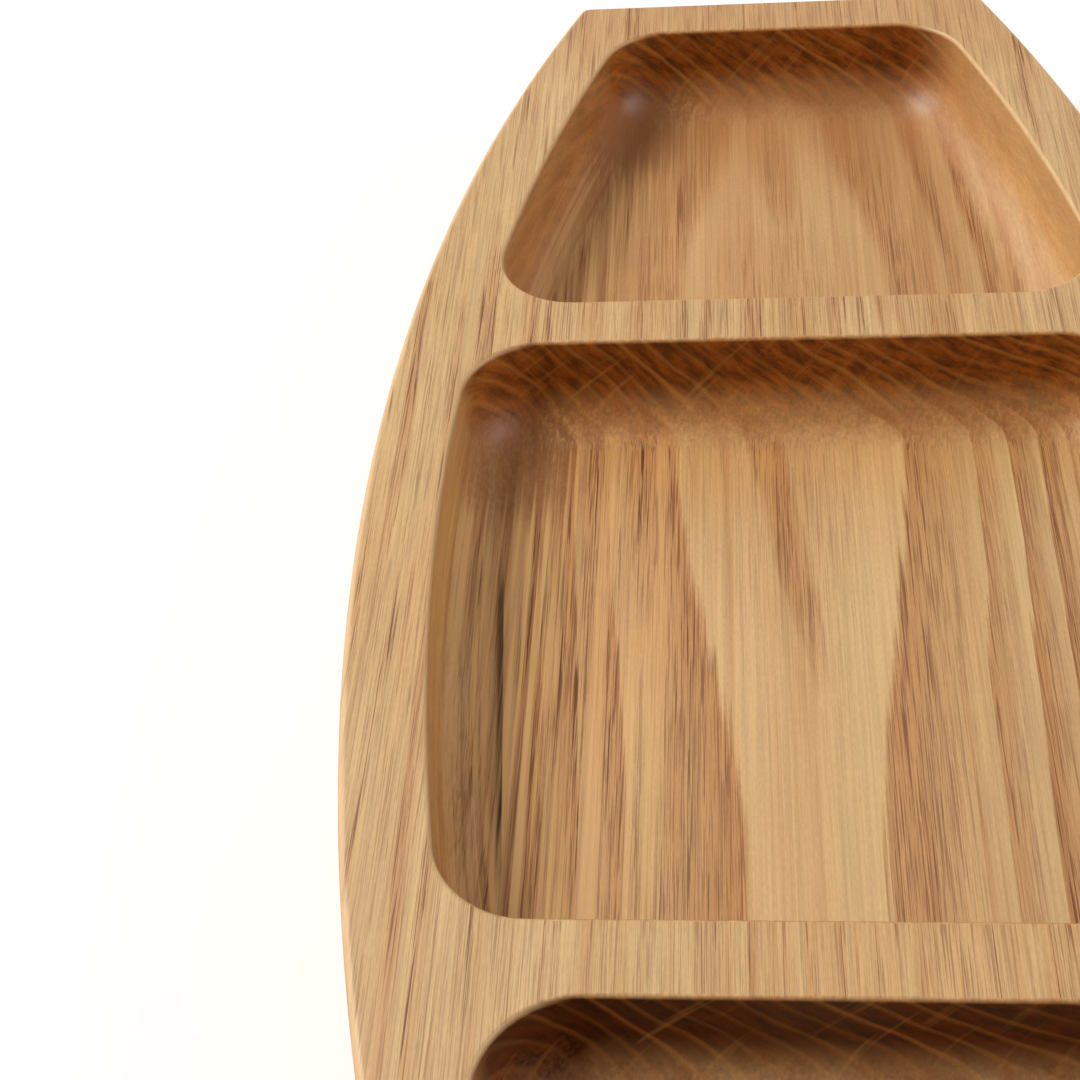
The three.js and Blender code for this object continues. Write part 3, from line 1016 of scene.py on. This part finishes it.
# Floor, light and camera


def seen_or_mirrored(nodes):
    """1 for what the camera sees, directly or in a gloss, and 0 for light that falls on the object."""
    path = nodes.add("ShaderNodeLightPath").outputs
    mirrored = nodes.math("MAXIMUM", path["Is Glossy Ray"], path["Is Transmission Ray"])
    return nodes.math("MAXIMUM", path["Is Camera Ray"], mirrored)


def pale_floor():
    """A pale floor that takes the platter's shadow and goes over into plain white away from it."""
    bpy.ops.mesh.primitive_plane_add(size=STAGE_SIZE)
    floor = bpy.context.object
    floor.name = "floor"
    material, nodes, shader = new_finish("pale_floor")
    shader.inputs["Base Color"].default_value = (0.895, 0.9, 0.91, 1)
    shader.inputs["Roughness"].default_value = 0.9
    shader.inputs["Specular IOR Level"].default_value = 0.1
    where = nodes.add("ShaderNodeTexCoord").outputs["Object"]
    away = nodes.add("ShaderNodeVectorMath", {0: where}, operation="LENGTH").outputs["Value"]
    white = nodes.add("ShaderNodeEmission", {"Color": HORIZON_WHITE}).outputs[0]
    share = nodes.product(nodes.ramp(away, SHADOW_REACH, WHITE_FROM), seen_or_mirrored(nodes))
    mixed = nodes.add("ShaderNodeMixShader", {0: share, 1: shader.outputs[0], 2: white}).outputs[0]
    output = next(node for node in material.node_tree.nodes if node.type == "OUTPUT_MATERIAL")
    nodes.put(output.inputs["Surface"], mixed)
    floor.data.materials.append(material)


def soft_light(name, place, width, height, watts, colour):
    """A rectangular lamp that faces the platter, with its place and size in metres."""
    data = bpy.data.lights.new(name, "AREA")
    data.shape = "RECTANGLE"
    data.size = width
    data.size_y = height
    data.energy = watts
    data.color = colour
    lamp = shown(name, data)
    lamp.location = place
    lamp.rotation_euler = (-Vector(place)).to_track_quat("-Z", "Y").to_euler()


def studio_world():
    """Even dim light from all round, with a white horizon behind the platter in low views."""
    world = bpy.data.worlds.new("studio")
    bpy.context.scene.world = world
    world.use_nodes = True
    nodes = Nodes(world.node_tree)
    direction = nodes.add("ShaderNodeTexCoord").outputs["Generated"]
    upwards = nodes.add("ShaderNodeSeparateXYZ", {0: direction}).outputs[2]
    horizon = nodes.ramp(upwards, 0.3, 0.55, HORIZON_LIGHT, ROOM_LIGHT)
    extra = nodes.product(seen_or_mirrored(nodes), nodes.math("SUBTRACT", horizon, ROOM_LIGHT))
    background = world.node_tree.nodes["Background"]
    background.inputs["Color"].default_value = (1, 0.995, 0.985, 1)
    nodes.put(background.inputs["Strength"], nodes.math("ADD", extra, ROOM_LIGHT))


def photo_camera():
    """Stands where the photograph was taken from, by a fit to the rims and the outline in it."""
    yaw, pitch, roll = -0.13511, 0.77549, -0.10584
    place = Vector((-13.4, -221.2, TOP + 209.4)) * MM
    forward = Vector((sin(yaw) * cos(pitch), cos(yaw) * cos(pitch), -sin(pitch)))
    level = Vector((cos(yaw), -sin(yaw), 0))
    upward = level.cross(forward)
    right = cos(roll) * level + sin(roll) * upward
    up = cos(roll) * upward - sin(roll) * level
    data = bpy.data.cameras.new("camera")
    data.sensor_width = 36
    data.lens = 63.0
    data.clip_start = 0.01
    camera = shown("camera", data)
    camera.matrix_world = Matrix.Translation(place) @ Matrix((right, up, -forward)).transposed().to_4x4()
    bpy.context.scene.camera = camera


# The platter

handling = handling_group()
oak, rubber, steel = oiled_oak(handling), moulded_rubber(handling), zinc_steel(handling)

board = platter_body(oak)
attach(board, "root")
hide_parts("platter_body")

PLACES = ("near_left", "near_right", "far_left", "far_right")
feet_tree = four_feet_tree()
for kind, blank, finish, slot in (
    ("foot", one_foot(), rubber, "rubber"),
    ("washer", one_washer(), steel, "steel"),
    ("screw", one_screw(), steel, "steel"),
):
    made = four_of(feet_tree, blank, kind + "_set", finish)
    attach(made, "root")
    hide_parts(*(f"{kind}_{place}" for place in PLACES))

# The photograph's surroundings

pale_floor()
soft_light("window", place=(-1.55, 0.3, 1.8), width=1.7, height=1.3, watts=71, colour=(1, 0.985, 0.96))
soft_light("room", place=(1.7, -0.1, 0.9), width=1.2, height=0.9, watts=15, colour=(1, 0.93, 0.86))
studio_world()
photo_camera()
bpy.context.scene.view_settings.view_transform = "Standard"
